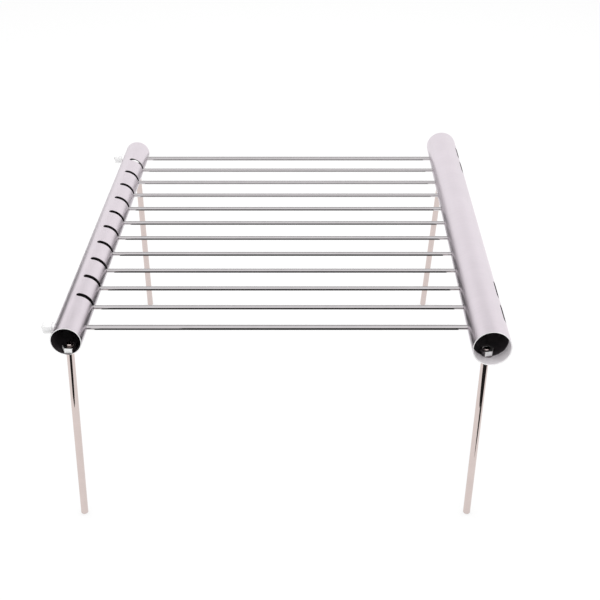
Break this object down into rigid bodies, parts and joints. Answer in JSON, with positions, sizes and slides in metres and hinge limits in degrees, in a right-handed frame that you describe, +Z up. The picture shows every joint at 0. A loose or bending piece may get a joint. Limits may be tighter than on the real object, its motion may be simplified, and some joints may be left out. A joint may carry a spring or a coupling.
{
  "type": "folding camp grill",
  "caption": "Take-apart camp grill: round bars between two side tubes of unequal size, on four screwed-in rod legs, cooking over a small ground fire.",
  "frame": {"origin": "middle of the overall footprint, on the ground", "axes": "+Y from the near end to the far end along the side tubes, +X towards the large tube, +Z up"},
  "size_m": [0.3586, 0.395, 0.1898],
  "materials": {
    "satin_tube": "satin stainless steel tube, fine polish along the tube",
    "polished_rod": "polished stainless steel bar",
    "bright_leg": "bright drawn stainless steel rod",
    "plated_nut": "bright plated steel nut"
  },
  "bodies": {
    "frame": {"small_tube": "satin_tube", "large_tube": "satin_tube", "tie_rod_near": "polished_rod", "tie_rod_far": "polished_rod", "tie_nut_near": "plated_nut", "tie_nut_far": "plated_nut", "leg_nut_near_left": "plated_nut", "leg_nut_near_right": "plated_nut", "leg_nut_far_left": "plated_nut", "leg_nut_far_right": "plated_nut"},
    "grill_bar_01": {"grill_bar_01": "polished_rod"},
    "grill_bar_02": {"grill_bar_02": "polished_rod"},
    "grill_bar_03": {"grill_bar_03": "polished_rod"},
    "grill_bar_04": {"grill_bar_04": "polished_rod"},
    "grill_bar_05": {"grill_bar_05": "polished_rod"},
    "grill_bar_06": {"grill_bar_06": "polished_rod"},
    "grill_bar_07": {"grill_bar_07": "polished_rod"},
    "grill_bar_08": {"grill_bar_08": "polished_rod"},
    "grill_bar_09": {"grill_bar_09": "polished_rod"},
    "grill_bar_10": {"grill_bar_10": "polished_rod"},
    "leg_near_left": {"leg_near_left": "bright_leg"},
    "leg_near_right": {"leg_near_right": "bright_leg"},
    "leg_far_left": {"leg_far_left": "bright_leg"},
    "leg_far_right": {"leg_far_right": "bright_leg"},
    "thumb_nut_near": {"thumb_nut_near": "plated_nut"},
    "thumb_nut_far": {"thumb_nut_far": "plated_nut"}
  },
  "joints": [
    {"name": "leg_unscrew_near_left", "type": "slide", "parent": "frame", "child": "leg_near_left", "axis": [-0.0462, 0, -0.9989], "range_m": [0, 0.012]},
    {"name": "leg_unscrew_near_right", "type": "slide", "parent": "frame", "child": "leg_near_right", "axis": [-0.0218, 0, -0.9998], "range_m": [0, 0.012]},
    {"name": "leg_unscrew_far_left", "type": "slide", "parent": "frame", "child": "leg_far_left", "axis": [-0.0017, 0, -1], "range_m": [0, 0.012]},
    {"name": "leg_unscrew_far_right", "type": "slide", "parent": "frame", "child": "leg_far_right", "axis": [-0.0715, 0, -0.9974], "range_m": [0, 0.012]},
    {"name": "bar_lift_01", "type": "hinge", "parent": "frame", "child": "grill_bar_01", "pos_m": [0.14972, -0.1373, 0.1748], "axis": [0, 1, 0], "range_deg": [0, 20]},
    {"name": "bar_lift_02", "type": "hinge", "parent": "frame", "child": "grill_bar_02", "pos_m": [0.14972, -0.1073, 0.1748], "axis": [0, 1, 0], "range_deg": [0, 20]},
    {"name": "bar_lift_03", "type": "hinge", "parent": "frame", "child": "grill_bar_03", "pos_m": [0.14972, -0.0773, 0.1748], "axis": [0, 1, 0], "range_deg": [0, 20]},
    {"name": "bar_lift_04", "type": "hinge", "parent": "frame", "child": "grill_bar_04", "pos_m": [0.14972, -0.0473, 0.1748], "axis": [0, 1, 0], "range_deg": [0, 20]},
    {"name": "bar_lift_05", "type": "hinge", "parent": "frame", "child": "grill_bar_05", "pos_m": [0.14972, -0.0173, 0.1748], "axis": [0, 1, 0], "range_deg": [0, 20]},
    {"name": "bar_lift_06", "type": "hinge", "parent": "frame", "child": "grill_bar_06", "pos_m": [0.14972, 0.0127, 0.1748], "axis": [0, 1, 0], "range_deg": [0, 20]},
    {"name": "bar_lift_07", "type": "hinge", "parent": "frame", "child": "grill_bar_07", "pos_m": [0.14972, 0.0427, 0.1748], "axis": [0, 1, 0], "range_deg": [0, 20]},
    {"name": "bar_lift_08", "type": "hinge", "parent": "frame", "child": "grill_bar_08", "pos_m": [0.14972, 0.0727, 0.1748], "axis": [0, 1, 0], "range_deg": [0, 20]},
    {"name": "bar_lift_09", "type": "hinge", "parent": "frame", "child": "grill_bar_09", "pos_m": [0.14972, 0.1027, 0.1748], "axis": [0, 1, 0], "range_deg": [0, 20]},
    {"name": "bar_lift_10", "type": "hinge", "parent": "frame", "child": "grill_bar_10", "pos_m": [0.14972, 0.1327, 0.1748], "axis": [0, 1, 0], "range_deg": [0, 20]},
    {"name": "thumb_nut_turn_near", "type": "hinge", "parent": "frame", "child": "thumb_nut_near", "pos_m": [-0.17397, -0.1673, 0.1748], "axis": [1, 0, 0], "continuous": true},
    {"name": "thumb_nut_turn_far", "type": "hinge", "parent": "frame", "child": "thumb_nut_far", "pos_m": [-0.17397, 0.1627, 0.1748], "axis": [1, 0, 0], "continuous": true}
  ]
}
